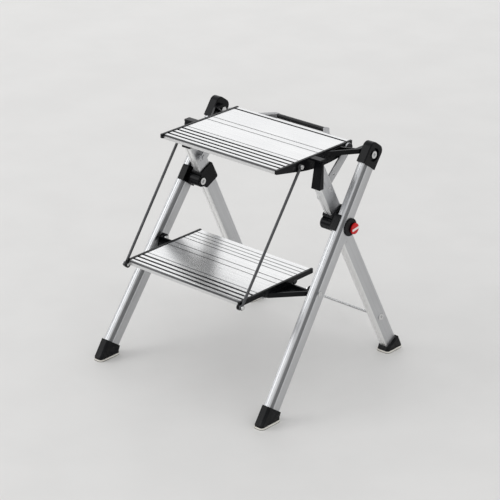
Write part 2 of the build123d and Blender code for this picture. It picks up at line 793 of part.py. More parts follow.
# Lock button, its pin and its return spring
button_back_x = lock_boss_outer_x + button_stand_off
button_face_x = button_back_x + button_thickness
with BuildPart() as lock_button:
    with BuildSketch(Plane.YZ.offset(button_back_x)):
        with Locations(spot(lock_centre)):
            Circle(button_radius)
    extrude(amount=button_thickness)
    fillet(lock_button.faces().sort_by(Axis.X)[-1].edges(), button_edge)
    with BuildSketch(Plane.YZ.offset(button_face_x)):
        with Locations(spot(lock_centre)):
            Rectangle(grip_bar_width, 2 * (button_radius - button_edge), rotation=grip_bar_turn)
            Circle(button_radius - button_edge, mode=Mode.INTERSECT)
    extrude(amount=grip_bar_height)
    with BuildSketch(Plane.YZ.offset(button_back_x)):
        with Locations(spot(lock_centre)):
            Circle(lock_pin_radius + running_clearance)
    extrude(amount=lock_pin_in_button, mode=Mode.SUBTRACT)
export_piece(lock_button, "lock_button")

lock_pin_end_x = sleeve_outer_x + lock_pin_gap
with BuildPart() as lock_pin:
    with BuildSketch(Plane.YZ.offset(lock_pin_end_x)):
        with Locations(spot(lock_centre)):
            Circle(lock_pin_radius)
    extrude(amount=button_back_x + lock_pin_in_button - lock_pin_end_x)
export_piece(lock_pin, "lock_pin")

spring_rise = button_back_x - spring_seat_x - spring_wire - 2 * running_clearance
spring_start_x = spring_seat_x + spring_wire / 2 + running_clearance
with BuildPart() as lock_spring:
    with BuildLine() as coil:
        Helix(
            spring_rise / spring_turns,
            spring_rise,
            spring_radius,
            center=(spring_start_x, lock_centre.Y, lock_centre.Z),
            direction=(1, 0, 0),
        )
    with BuildSketch(Plane(origin=coil.line @ 0, z_dir=coil.line % 0)):
        Circle(spring_wire / 2)
    sweep(is_frenet=True)
export_piece(lock_spring, "lock_spring")

# Cross rod between the rear legs, with rivet heads outside and washers inside
rod_leg_x = rear_leg_x(-cross_rod_below_pivot)
rod_outer_x = rod_leg_x + rear_leg_width / 2
with BuildPart() as cross_rod:
    with BuildSketch(Plane.YZ):
        with Locations(spot(cross_rod_point)):
            Circle(cross_rod_radius)
    extrude(amount=rod_outer_x + rivet_head_height, both=True)
export_piece(cross_rod, "cross_rod")

with BuildPart() as cross_rod_washers:
    with BuildSketch(Plane.YZ.offset(rod_leg_x - rear_leg_width / 2 - cross_rod_washer_height)):
        with Locations(spot(cross_rod_point)):
            Circle(cross_rod_washer_radius)
    extrude(amount=rear_leg_width + 2 * cross_rod_washer_height)
    add(rear_tube_outline.part, mode=Mode.SUBTRACT)
    with BuildSketch(Plane.YZ):
        with Locations(spot(cross_rod_point)):
            Circle(cross_rod_radius + running_clearance)
    extrude(amount=through, mode=Mode.SUBTRACT)
export_group(cross_rod_washers, "cross_rod_washers")


def screw_points(front_y, setbacks, top_z):
    """Places of the screws at each end of a tread."""
    height = top_z - screw_port_below
    return [Vector(0, front_y + setback, height) for setback in setbacks]


def countersunk(points, clearance, reach, mode):
    """Screws, or the seats for them, flush with the outer face of an end plate."""
    head_depth = screw_head_radius - screw_radius
    with Locations(*[Plane((plate_outer_x - head_depth, p.Y, p.Z), z_dir=(1, 0, 0)) for p in points]):
        Cone(
            screw_radius + clearance,
            screw_head_radius + clearance,
            head_depth,
            align=(Align.CENTER, Align.CENTER, Align.MIN),
            mode=mode,
        )
    with Locations(*[Plane((plate_outer_x - reach, p.Y, p.Z), z_dir=(1, 0, 0)) for p in points]):
        Cylinder(
            screw_radius + clearance,
            reach - head_depth / 2,
            align=(Align.CENTER, Align.CENTER, Align.MIN),
            mode=mode,
        )


# Treads: ribbed extrusions with lips front and rear, and a screw port in each of the webs below
top_screws = screw_points(top_front_y, top_screw_setbacks, platform_height)
lower_screws = screw_points(lower_front_y, lower_screw_setbacks, lower_platform_height)
top_front_grooves = [first_groove + count * front_groove_pitch for count in range(top_front_groove_count)]
top_fine_groove = first_groove + top_front_groove_count * front_groove_pitch
top_middle_grooves = [top_middle_line, top_middle_line + middle_groove_spacing]
lower_front_grooves = [first_groove + count * front_groove_pitch for count in range(lower_front_groove_count)]
lower_fine_groove = first_groove + lower_front_groove_count * front_groove_pitch
lower_middle_grooves = [lower_middle_line, lower_middle_line + middle_groove_spacing]
lower_rear_grooves = [
    lower_tread_depth - first_rear_groove - count * rear_groove_pitch for count in range(lower_rear_groove_count)
]
tread_table = {
    "top": (
        top_front_y,
        top_tread_depth,
        platform_height,
        top_rear_lip_height,
        top_screws,
        top_front_grooves + [top_tread_depth - first_groove],
        [top_fine_groove] + top_middle_grooves,
    ),
    "lower": (
        lower_front_y,
        lower_tread_depth,
        lower_platform_height,
        lower_rear_lip_height,
        lower_screws,
        lower_front_grooves,
        [lower_fine_groove] + lower_middle_grooves + lower_rear_grooves,
    ),
}
bracket_screw_x = bracket_foot_half_span - bracket_foot / 2
bracket_screw_spots = [(side * bracket_screw_x, platform_height - bracket_screw_below) for side in (-1, 1)]
for level, (front_y, depth, top_z, rear_lip, screws, wide_grooves, fine_grooves) in tread_table.items():
    with BuildPart() as tread:
        with BuildSketch(Plane.YZ.offset(-tread_half_length)) as section:
            with Locations((front_y, top_z)):
                Rectangle(depth, skin, align=(Align.MIN, Align.MAX))
                Rectangle(lip_wall, front_lip_height, align=(Align.MIN, Align.MAX))
            with Locations((front_y + depth, top_z)):
                Rectangle(lip_wall, rear_lip, align=(Align.MAX, Align.MAX))
            with Locations((front_y + depth, top_z - rear_lip)):
                Rectangle(lip_return, lip_wall, align=(Align.MAX, Align.MIN))
            with Locations(*[(point.Y, top_z) for point in screws]):
                Rectangle(rib_wall, rib_height, align=(Align.CENTER, Align.MAX))
            with Locations(*[(point.Y, top_z - rib_height) for point in screws]):
                Rectangle(rib_flange, lip_wall)
            with Locations(*[spot(point) for point in screws]):
                Circle(screw_port_radius)
                Circle(screw_radius, mode=Mode.SUBTRACT)
            fillet(section.vertices().sort_by_distance((front_y, top_z))[0], nose_radius)
            fillet(section.vertices().sort_by_distance((front_y + depth, top_z))[0], nose_radius / 2)
            with Locations(*[(front_y + setback, top_z) for setback in wide_grooves]):
                Rectangle(groove_width, 2 * groove_depth, mode=Mode.SUBTRACT)
            with Locations(*[(front_y + setback, top_z) for setback in fine_grooves]):
                Rectangle(fine_groove_width, 2 * groove_depth, mode=Mode.SUBTRACT)
        extrude(amount=2 * tread_half_length)
        if level == "top":
            with BuildSketch(Plane.XZ.offset(-front_y - depth)):
                with Locations(*bracket_screw_spots):
                    Circle(screw_radius + running_clearance)
            extrude(amount=lip_wall, mode=Mode.SUBTRACT)
    export_piece(tread, f"{level}_tread")

    with BuildPart() as tread_screws:
        countersunk(screws, -running_clearance, screw_length, Mode.ADD)
    export_group(tread_screws, f"{level}_tread_screws")

# Top end plates: arched plate, ledge that rests on the rear leg, and an arm out to the top hinge
top_rear_y = top_front_y + top_tread_depth
top_edge = platform_height + plate_above_tread
top_end_height = top_edge - top_plate_end_depth
arm_top = platform_height - plate_above_tread
top_arm_plan = [
    (plate_outer_x, top_hinge.Y - top_arm_front),
    (plate_outer_x, top_hinge.Y - top_arm_back),
    (plate_outer_x + stay_lane, top_hinge.Y - top_arm_back),
    (top_knuckle_inner_x, top_hinge.Y - top_arm_side),
    (top_knuckle_outer_x, top_hinge.Y - top_arm_side),
]
with BuildPart() as top_end_plate:
    with BuildSketch(Plane.YZ.offset(tread_half_length)):
        with BuildLine():
            Polyline(
                (top_rear_y, top_end_height),
                (top_rear_y, top_edge),
                (top_front_y - plate_past_tread, top_edge),
                (top_front_y - plate_past_tread, top_edge - plate_tip_depth),
                (top_front_y + top_screw_setbacks[0], top_end_height),
            )
            ThreePointArc(
                (top_front_y + top_screw_setbacks[0], top_end_height),
                (top_front_y + top_tread_depth / 2, top_edge - top_plate_middle_depth),
                (top_rear_y, top_end_height),
            )
        make_face()
    extrude(amount=end_plate_thickness)
    with BuildSketch(Plane.XY.offset(arm_top - arm_height)):
        Polygon(*top_arm_plan, align=None)
        with Locations((top_knuckle_inner_x, top_hinge.Y)):
            Rectangle(top_knuckle_length, top_arm_side, align=(Align.MIN, Align.MAX))
    extrude(amount=arm_height)
    with BuildSketch(Plane.XY.offset(arm_top - arm_height + arm_web)):
        Polygon(*top_arm_plan, align=None)
        offset(amount=-arm_rim, mode=Mode.REPLACE)
    extrude(amount=arm_height, mode=Mode.SUBTRACT)
    with BuildSketch(Plane.YZ.offset(top_knuckle_inner_x)):
        with Locations(spot(top_hinge)):
            Circle(knuckle_radius)
    extrude(amount=top_knuckle_length)
    with BuildSketch(Plane.YZ.offset(plate_outer_x)):
        with Locations((wedge_wall_y, nose_top + ledge_gap)):
            Rectangle(ledge_depth, ledge_thickness, align=(Align.CENTER, Align.MIN))
    extrude(amount=ledge_width)
    with BuildSketch(Plane.YZ.offset(top_knuckle_inner_x)):
        with Locations(spot(top_hinge)):
            Circle(nut_radius + hinge_face_gap)
    extrude(amount=nut_height + 2 * hinge_face_gap, mode=Mode.SUBTRACT)
    with BuildSketch(Plane.YZ):
        with Locations(spot(top_hinge)):
            Circle(bolt_hole_radius)
        with Locations(spot(top_rod_pin), spot(stay_top)):
            Circle(pin_hole_radius)
    extrude(amount=through, mode=Mode.SUBTRACT)
    countersunk(top_screws, 0, screw_length, Mode.SUBTRACT)
export_pair(top_end_plate, "top_end_plate")

# Lower end plates: shallow plate with a pad at each screw, a front knob for the tie rod, and a hinge arm
lower_edge = lower_platform_height + plate_above_tread
lower_arm_bottom = lower_hinge.Z + lower_arm_rise - arm_height
lower_arm_plan = [
    (plate_outer_x, lower_hinge.Y - lower_arm_front),
    (plate_outer_x, lower_hinge.Y - lower_arm_back),
    (lower_knuckle_outer_x, lower_hinge.Y - lower_arm_back),
    (lower_knuckle_outer_x, lower_hinge.Y - lower_arm_side),
]
with BuildPart() as lower_end_plate:
    with BuildSketch(Plane.YZ.offset(tread_half_length)):
        with Locations((lower_front_y - plate_past_tread, lower_edge)):
            Rectangle(
                lower_tread_depth + plate_past_tread,
                lower_plate_depth,
                align=(Align.MIN, Align.MAX),
            )
        with Locations((lower_hinge.Y - lower_arm_back, lower_edge)):
            Rectangle(
                lower_arm_front - lower_arm_back,
                lower_edge - lower_arm_bottom,
                align=(Align.MAX, Align.MAX),
            )
        with Locations(spot(lower_rod_pin)):
            Circle(knob_radius)
        with Locations(*[spot(point) for point in lower_screws]):
            Circle(screw_pad_radius)
    extrude(amount=end_plate_thickness)
    with BuildSketch(Plane.XY.offset(lower_arm_bottom)):
        Polygon(*lower_arm_plan, align=None)
        with Locations((lower_knuckle_inner_x, lower_hinge.Y)):
            Rectangle(lower_knuckle_length, lower_arm_side, align=(Align.MIN, Align.MAX))
    extrude(amount=arm_height)
    with BuildSketch(Plane.XY.offset(lower_arm_bottom + arm_web)):
        Polygon(*lower_arm_plan, align=None)
        offset(amount=-arm_rim, mode=Mode.REPLACE)
    extrude(amount=arm_height, mode=Mode.SUBTRACT)
    with BuildSketch(Plane.YZ.offset(lower_knuckle_inner_x)):
        with Locations(spot(lower_hinge)):
            Circle(knuckle_radius)
    extrude(amount=lower_knuckle_length)
    with BuildSketch(Plane.YZ):
        with Locations(spot(lower_hinge)):
            Circle(bolt_hole_radius)
        with Locations(spot(lower_rod_pin)):
            Circle(pin_hole_radius)
    extrude(amount=through, mode=Mode.SUBTRACT)
    countersunk(lower_screws, 0, screw_length, Mode.SUBTRACT)
export_pair(lower_end_plate, "lower_end_plate")

# Tie rods between the two treads, with the pins they turn on
rod_length = (top_rod_pin - lower_rod_pin).length
with BuildPart() as tie_rod:
    with BuildSketch(Plane.YZ.offset(rod_x)):
        with Locations(spot(top_rod_pin), spot(lower_rod_pin)):
            Circle(rod_eye_radius)
    extrude(amount=rod_eye_width)
    with BuildSketch(
        Plane(
            origin=(rod_x + rod_eye_width / 2, lower_rod_pin.Y, lower_rod_pin.Z),
            x_dir=(1, 0, 0),
            z_dir=front_along,
        )
    ):
        RectangleRounded(rod_eye_width, 2 * rod_radius, rod_edge)
    extrude(amount=rod_length)
    with BuildSketch(Plane.YZ):
        with Locations(spot(top_rod_pin), spot(lower_rod_pin)):
            Circle(pin_hole_radius)
    extrude(amount=through, mode=Mode.SUBTRACT)
export_pair(tie_rod, "tie_rod")

rod_pin_head_x = rod_x + rod_eye_width + hinge_face_gap
for level, pin_point in (("top", top_rod_pin), ("lower", lower_rod_pin)):
    with BuildPart() as rod_pins:
        with BuildSketch(Plane.YZ.offset(tread_half_length + hinge_face_gap)):
            with Locations(spot(pin_point)):
                Circle(pin_radius)
        extrude(amount=rod_pin_head_x - tread_half_length)
        with BuildSketch(Plane.YZ.offset(rod_pin_head_x)):
            with Locations(spot(pin_point)):
                Circle(rod_pin_head_radius)
        extrude(amount=pin_head_height)
    export_group(rod_pins, f"{level}_rod_pins")

# Stays from the rear legs to the platform: the eye at the top is open, because it also slides a little
stay_run = stay_top - stay_foot
stay_direction = stay_run.normalized()
stay_angle = degrees(atan2(stay_run.Z, stay_run.Y))
stay_middle = (stay_foot + stay_top) * 0.5
with BuildPart() as stay:
    with BuildSketch(Plane.YZ.offset(stay_x)):
        with Locations(Location((stay_middle.Y, stay_middle.Z), stay_angle)):
            SlotCenterToCenter(stay_run.length, stay_width)
        with Locations(spot(stay_foot)):
            Circle(pin_hole_radius, mode=Mode.SUBTRACT)
        with Locations(spot(stay_top)):
            Circle(pin_radius + stay_slack, mode=Mode.SUBTRACT)
        with Locations(spot(stay_foot + stay_direction * stay_spare_hole_along)):
            Circle(stay_spare_hole_radius, mode=Mode.SUBTRACT)
    extrude(amount=stay_thickness)
export_pair(stay, "stay")

stay_outer_x = stay_x + stay_thickness
with BuildPart() as stay_top_pins:
    with BuildSketch(Plane.YZ.offset(tread_half_length + hinge_face_gap)):
        with Locations(spot(stay_top)):
            Circle(pin_radius)
    extrude(amount=stay_outer_x - tread_half_length)
    with BuildSketch(Plane.YZ.offset(stay_outer_x + hinge_face_gap)):
        with Locations(spot(stay_top)):
            Circle(stay_head_radius)
    extrude(amount=stay_head_height)
export_group(stay_top_pins, "stay_top_pins")

with BuildPart() as stay_foot_pins:
    with BuildSketch(Plane.YZ.offset(stay_outer_x + hinge_face_gap)):
        with Locations(spot(stay_foot)):
            Circle(pin_head_radius)
    extrude(amount=rear_leg_width / 2)
    add(rear_tube_outline.part, mode=Mode.SUBTRACT)
    with BuildSketch(Plane.YZ.offset(stay_x - hinge_face_gap)):
        with Locations(spot(stay_foot)):
            Circle(pin_radius)
    extrude(amount=rear_leg_x(stay_pivot_rise) - rear_leg_width / 2 + rear_leg_wall - stay_x)
    with BuildSketch(Plane.YZ.offset(stay_x - hinge_face_gap)):
        with Locations(spot(stay_foot)):
            Circle(pin_head_radius)
    extrude(amount=-stay_foot_head_height)
export_group(stay_foot_pins, "stay_foot_pins")

# Carry handle behind the platform: two brackets screwed to the rear lip, a rod and a grip on it
grip_y = top_rear_y + handle_reach
grip_z = platform_height - handle_below_platform - grip_height / 2
handle_rod = Vector(0, grip_y, grip_z)
grip_half_length = handle_half_length - bracket_end
bracket_plan = [
    (bracket_foot_half_span, top_rear_y),
    (bracket_foot_half_span - bracket_foot, top_rear_y),
    (grip_half_length + hinge_face_gap, grip_y - grip_depth / 2),
    (grip_half_length + hinge_face_gap, grip_y + grip_depth / 2),
    (handle_half_length + bracket_end / 2, grip_y + grip_depth / 2),
]
with BuildPart() as handle_bracket:
    with BuildSketch(Plane.XY.offset(grip_z - grip_height / 2)):
        Polygon(*bracket_plan, align=None)
    extrude(amount=grip_height)
    with BuildSketch(Plane.XY.offset(platform_height - top_rear_lip_height)):
        with Locations((bracket_foot_half_span, top_rear_y)):
            Rectangle(bracket_foot, bracket_wall, align=(Align.MAX, Align.MIN))
    extrude(amount=top_rear_lip_height - handle_below_platform)
    with BuildSketch(Plane.YZ):
        with Locations(spot(handle_rod)):
            Circle(cross_rod_radius + running_clearance)
    extrude(amount=handle_half_length, mode=Mode.SUBTRACT)
    with BuildSketch(Plane.XZ.offset(-top_rear_y)):
        with Locations(*bracket_screw_spots):
            Circle(screw_radius + running_clearance)
    extrude(amount=-bracket_wall, mode=Mode.SUBTRACT)
export_pair(handle_bracket, "handle_bracket")

with BuildPart() as handle_grip:
    with BuildSketch(Plane.YZ.offset(-grip_half_length)):
        with Locations(spot(handle_rod)):
            RectangleRounded(grip_depth, grip_height, grip_edge)
            Circle(cross_rod_radius + running_clearance, mode=Mode.SUBTRACT)
    extrude(amount=2 * grip_half_length)
export_piece(handle_grip, "handle_grip")

with BuildPart() as handle_core:
    with BuildSketch(Plane.YZ):
        with Locations(spot(handle_rod)):
            Circle(cross_rod_radius)
    extrude(amount=handle_half_length - hinge_face_gap, both=True)
export_piece(handle_core, "handle_core")

with BuildPart() as handle_screws:
    with BuildSketch(Plane.XZ.offset(-top_rear_y - bracket_wall)):
        with Locations(*bracket_screw_spots):
            Circle(screw_radius)
    extrude(amount=bracket_wall + 2 * lip_wall)
    with BuildSketch(Plane.XZ.offset(-top_rear_y - bracket_wall)):
        with Locations(*bracket_screw_spots):
            Circle(screw_head_radius)
    extrude(amount=-screw_radius)
export_piece(handle_screws, "handle_screws")
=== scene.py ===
import math

import bmesh
import bpy
from mathutils import Matrix, Vector


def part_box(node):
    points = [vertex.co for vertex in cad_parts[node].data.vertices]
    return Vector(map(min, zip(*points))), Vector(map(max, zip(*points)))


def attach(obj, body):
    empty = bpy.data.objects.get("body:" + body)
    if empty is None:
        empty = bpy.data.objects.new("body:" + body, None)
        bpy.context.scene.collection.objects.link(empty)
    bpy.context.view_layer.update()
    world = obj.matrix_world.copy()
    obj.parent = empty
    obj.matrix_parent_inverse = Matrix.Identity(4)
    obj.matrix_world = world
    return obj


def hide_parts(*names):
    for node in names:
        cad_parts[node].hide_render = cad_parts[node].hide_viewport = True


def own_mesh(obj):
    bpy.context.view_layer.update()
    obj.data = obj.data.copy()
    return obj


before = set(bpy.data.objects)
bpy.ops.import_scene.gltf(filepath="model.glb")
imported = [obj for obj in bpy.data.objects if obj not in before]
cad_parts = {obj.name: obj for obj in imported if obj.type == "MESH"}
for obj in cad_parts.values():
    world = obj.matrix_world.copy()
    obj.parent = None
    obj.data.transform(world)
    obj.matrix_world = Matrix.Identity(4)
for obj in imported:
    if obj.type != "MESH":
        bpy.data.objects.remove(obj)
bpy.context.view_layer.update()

# Front legs: two hollow aluminium extrusions, satin anodised, that run from the front boots up to the
# platform's hinge. A groove runs down each side and two fine ones down the front face.
front_leg_lean = math.radians(54.5)
leg_splay = math.tan(math.radians(1.8))
front_leg_axis = -0.16581
side_groove = (-0.0150, -0.0050)
groove_front_blur = 0.0006
groove_rear_blur = (0.0002, -0.0008)
# Painted highlight along the side groove's rear edge: where it starts and where it fades.
edge_highlight_starts = 0.0004
edge_highlight_fades = (0.0045, 0.0015)
# Painted highlights on the rear legs' rounded corners fade over these widths.
corner_highlight_fades = (0.0028, 0.0006)
satin_aluminium = (0.57, 0.575, 0.585, 1)
# Painted shade for the floor of the side groove.
painted_groove_shade = (0.24, 0.243, 0.25, 1)
# Colour of the painted corner highlights.
corner_highlight_colour = (0.97, 0.97, 0.965, 1)


class Surface:
    """One output in a material's node tree. Sums and products of it add Math nodes."""

    def __init__(self, tree, socket=None):
        self.tree = tree
        self.socket = socket

    def node(self, kind, settings=None, sockets=None, output=0):
        """Adds any other node: its settings first, then the values or links of its sockets."""
        made = self.tree.nodes.new(kind)
        for name, value in (settings or {}).items():
            setattr(made, name, value)
        for name, value in (sockets or {}).items():
            if isinstance(value, Surface):
                self.tree.links.new(value.socket, made.inputs[name])
            else:
                made.inputs[name].default_value = value
        return Surface(self.tree, made.outputs[output] if made.outputs else None)

    def maths(self, operation, first, second):
        return self.node("ShaderNodeMath", {"operation": operation}, {0: first, 1: second})

    def __add__(self, other):
        return self.maths("ADD", self, other)

    def __sub__(self, other):
        return self.maths("SUBTRACT", self, other)

    def __rsub__(self, other):
        return self.maths("SUBTRACT", other, self)

    def __mul__(self, other):
        return self.maths("MULTIPLY", self, other)

    def __abs__(self):
        return self.maths("ABSOLUTE", self, 0)

    __radd__ = __add__
    __rmul__ = __mul__

    def ramp(self, low, high):
        """Rises smoothly from 0 at low to 1 at high."""
        settings = {"interpolation_type": "SMOOTHSTEP"}
        return self.node("ShaderNodeMapRange", settings, {0: self, 1: low, 2: high})

    def blend(self, first, second):
        """The first colour where this is 0, the second where it is 1."""
        return self.node("ShaderNodeMix", {"data_type": "RGBA"}, {0: self, 6: first, 7: second}, 2)

    def axis(self, letter):
        return self.node("ShaderNodeSeparateXYZ", None, {0: self}, "XYZ".index(letter))

    def noise(self, scale, detail=3, x=1, y=1, z=1):
        """Noise on this place, closer together along an axis with a larger number."""
        stretched = self.node("ShaderNodeMapping", None, {"Vector": self, "Scale": (x, y, z)})
        return self.node("ShaderNodeTexNoise", None, {"Vector": stretched, "Scale": scale, "Detail": detail})


def new_finish(name):
    """A bare material: its tree, and the place of a point on the piece."""
    material = bpy.data.materials.new(name)
    material.use_nodes = True
    material.node_tree.nodes.clear()
    bare = Surface(material.node_tree)
    return material, bare.node("ShaderNodeTexCoord", None, None, 3)


def coat(place, sockets, height, bump, depth=0.0003):
    """The finish's shader, with a fine relief on it."""
    relief = {"Height": height, "Strength": bump, "Distance": depth}
    normal = place.node("ShaderNodeBump", None, relief)
    shader = place.node("ShaderNodeBsdfPrincipled", None, {**sockets, "Normal": normal})
    place.node("ShaderNodeOutputMaterial", None, {"Surface": shader})


def dress(material, *names):
    """Gives the finish to CAD nodes."""
    for name in names:
        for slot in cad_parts[name].material_slots:
            slot.material = material


def both(name):
    return [f"{name}_left", f"{name}_right"]


def tint(colour, amount):
    """The same colour, darker or lighter, with white as the limit."""
    return tuple(min(1, value * amount) for value in colour[:3]) + (1,)


def drawn_tube(name, lean, lean_side, colour, groove=None, corners=None):
    """Satin anodised tube: faint lines along its length from the die, cloudy anodising, small rubs; where
    given, a painted shade in the side groove with a painted highlight behind it, and painted highlights on
    the corners.
    """
    material, place = new_finish(name)
    y = place.axis("Y")
    z = place.axis("Z")
    along = y * (lean_side * math.cos(lean)) + z * math.sin(lean)
    across = y * math.sin(lean) - z * (lean_side * math.cos(lean))
    side = abs(place.axis("X")) + along * leg_splay
    flow = place.node("ShaderNodeCombineXYZ", None, {0: side, 1: across, 2: along})
    lines = flow.noise(900, 4, z=0.004)
    broad_lines = flow.noise(160, 2, z=0.003)
    clouds = flow.noise(22, 4, z=0.35)
    rubs = flow.noise(70, 6, z=0.5).ramp(0.66, 0.78)
    tone = clouds * 0.35 + lines * 0.35 + broad_lines * 0.3
    base = tone.ramp(0.3, 0.7).blend(tint(colour, 0.88), tint(colour, 1.1))
    base = rubs.blend(base, tint(colour, 0.8))
    if groove:
        front, rear = groove
        rear_wall = across.ramp(*[rear + blur for blur in groove_rear_blur])
        inside = across.ramp(front, front + groove_front_blur) * rear_wall
        # A painted highlight runs along the rear edge of the groove.
        edge_highlight_fade = across.ramp(*[rear + fade for fade in edge_highlight_fades])
        painted_edge_highlight = across.ramp(rear, rear + edge_highlight_starts) * edge_highlight_fade
        base = (painted_edge_highlight * 0.7).blend(base, tint(colour, 1.3))
        # The side groove's floor is painted dark as shade.
        base = (inside * (0.8 + clouds * 0.3)).blend(base, painted_groove_shade)
    if corners:
        front, rear = corners
        # Both corners of the tube are painted lighter as highlights.
        front_corner = across.ramp(*[front + fade for fade in corner_highlight_fades])
        rear_corner = across.ramp(*[rear - fade for fade in corner_highlight_fades])
        corner_highlight = front_corner + rear_corner
        base = (corner_highlight * (0.85 + clouds * 0.2)).blend(base, corner_highlight_colour)
    sockets = {
        "Base Color": base,
        "Metallic": 0.92,
        "Roughness": 0.27 + lines * 0.1 + clouds * 0.1 + rubs * 0.1,
    }
    coat(place, sockets, lines * 0.6 + broad_lines * 0.4, bump=0.12)
    return material


stripe = [front_leg_axis + edge for edge in side_groove]
front_tube = drawn_tube("satin_front_tube", front_leg_lean, 1, satin_aluminium, groove=stripe)
dress(front_tube, *both("front_leg"))

# Rear legs: wider smooth extrusions of the same satin aluminium, that cross inside the front legs and
# lean the other way. They go up to the black wedge caps beside the platform.
rear_leg_lean = math.radians(63.3)
rear_leg_axis = 0.18334
rear_leg_half_depth = 0.01525
# The rear legs' rounded front and rear corners get painted highlights.
rear_corners = (rear_leg_axis - rear_leg_half_depth, rear_leg_axis + rear_leg_half_depth)
rear_tube = drawn_tube("satin_rear_tube", rear_leg_lean, -1, satin_aluminium, corners=rear_corners)
dress(rear_tube, *both("rear_leg"), "stay_foot_pins")

# Wedge caps, leg caps, pivot plates, sleeves and boots: black nylon mouldings with a fine eroded grain.
# The caps and boots are pressed over the tube ends, and rivets and bolts hold the caps and plates.
moulding_black = (0.0022, 0.0024, 0.003, 1)
moulding_grey = (0.0055, 0.0058, 0.007, 1)
dust = (0.04, 0.039, 0.037, 1)
dust_height = 0.03


def moulding(name):
    """Black moulded nylon: fine grain, soft flow marks, and dust where it is near the floor."""
    material, place = new_finish(name)
    grain = place.noise(1500, 2)
    flow_marks = place.noise(35, 4)
    scuffs = place.noise(60, 6, z=0.25).ramp(0.62, 0.75)
    base = flow_marks.ramp(0.3, 0.7).blend(moulding_black, moulding_grey)
    dusty = place.axis("Z").ramp(dust_height, 0.0) * place.noise(140, 5).ramp(0.35, 0.75) * 0.5
    sockets = {
        "Base Color": (dusty + scuffs * 0.1).blend(base, dust),
        "Roughness": 0.2 + grain * 0.08 + flow_marks * 0.08 + scuffs * 0.15,
        "Specular IOR Level": 0.14,
    }
    coat(place, sockets, grain, bump=0.1)
    return material


black_moulding = moulding("black_moulding")
for cover in ("rear_leg_cap", "leg_cap", "pivot_plate", "hub_sleeve", "front_foot", "rear_foot"):
    dress(black_moulding, *both(cover))

# Soles: pale rubber pads under the boots, moulded in, that show as a thin light rim above the floor. Next to
# the floor they are painted dark as a contact shadow.
sole_rubber = (0.90, 0.875, 0.81, 1)
sole_contact_shadow = (0.035, 0.033, 0.03, 1)
sole_dirt = (0.55, 0.51, 0.45, 1)
contact_shadow_starts = 0.0016
contact_shadow_full = 0.0009


def rubber(name):
    """Pale rubber: a fine speckle, patches of dirt, and a painted contact shadow next to the floor."""
    material, place = new_finish(name)
    speckle = place.noise(900, 3)
    dirt = place.noise(90, 5).ramp(0.45, 0.8)
    # The band next to the floor is painted dark as contact shadow.
    second_colour_mask = place.axis("Z").ramp(contact_shadow_starts, contact_shadow_full)
    clean = (dirt * 0.4 + speckle * 0.12).blend(sole_rubber, sole_dirt)
    sockets = {
        "Base Color": (second_colour_mask * (0.75 + dirt * 0.25)).blend(clean, sole_contact_shadow),
        "Roughness": 0.72 + speckle * 0.15,
    }
    coat(place, sockets, speckle, bump=0.25, depth=0.0004)
    return material


pale_sole = rubber("pale_sole_rubber")
dress(pale_sole, *both("front_sole"), *both("rear_sole"))

# Bolts, nuts, rivets, pins and screws: cold formed steel, that join every moving piece. Most are zinc plated,
# bright with a faint cloudy bloom. The screws, the plates' rivets and the stays' upper pins are blackened.
zinc = (0.72, 0.72, 0.715, 1)
zinc_bloom = (0.50, 0.51, 0.52, 1)
oxide_black = (0.045, 0.045, 0.048, 1)
oxide_bloom = (0.02, 0.02, 0.022, 1)


def plated(name, bright, bloom, roughness):
    """Bare or plated metal: a cloudy bloom and faint marks of the tool."""
    material, place = new_finish(name)
    clouds = place.noise(260, 5)
    turning = place.noise(900, 2)
    sockets = {
        "Base Color": clouds.ramp(0.42, 0.72).blend(bright, bloom),
        "Metallic": 1.0,
        "Roughness": roughness + clouds * 0.14 + turning * 0.06,
    }
    coat(place, sockets, turning, bump=0.05, depth=0.0002)
    return material


bright_steel = plated("zinc_plated_steel", zinc, zinc_bloom, 0.16)
dress(
    bright_steel, "top_hinge_bolts", "top_hinge_nuts", "lower_hinge_bolts", "lower_hinge_nuts",
    "pivot_bolts", "cap_rivets", "cross_rod_washers",
    "top_rod_pins", "lower_rod_pins", "lock_pin", "handle_core",
)
black_steel = plated("blackened_steel", oxide_black, oxide_bloom, 0.3)
dress(black_steel, "stay_top_pins", "top_tread_screws", "lower_tread_screws", "handle_screws", "plate_rivets")

# Bushes and washers of the hinges: natural nylon, turned from bar. The bushes sit round the bolts of the
# crossing and the washers round the lower hinge's bolts, and both keep the moving pieces apart.
nylon_white = (0.68, 0.66, 0.60, 1)
nylon_shade = (0.55, 0.52, 0.45, 1)


def turned_nylon(name):
    """Natural nylon: a slightly cloudy white with fine rings from the lathe."""
    material, place = new_finish(name)
    clouds = place.noise(160, 4)
    turning = place.noise(1800, 2, y=0.05, z=0.05)
    sockets = {
        "Base Color": clouds.ramp(0.35, 0.75).blend(nylon_white, nylon_shade),
        "Roughness": 0.42 + turning * 0.15,
    }
    coat(place, sockets, turning, bump=0.15)
    return material


dress(turned_nylon("turned_nylon"), "hub_bushes", "lower_hinge_washers")

# Lock button: a round push button of glossy red nylon behind the right front leg, with a raised pale
# finger bar moulded across its face. It slides in the pivot plate's housing against a spring.
button_red = (0.68, 0.006, 0.008, 1)
button_deep_red = (0.50, 0.004, 0.007, 1)
bar_pale = (0.90, 0.88, 0.85, 1)
button_face_x = 0.21022
bar_starts = 0.0001
bar_full = 0.0003


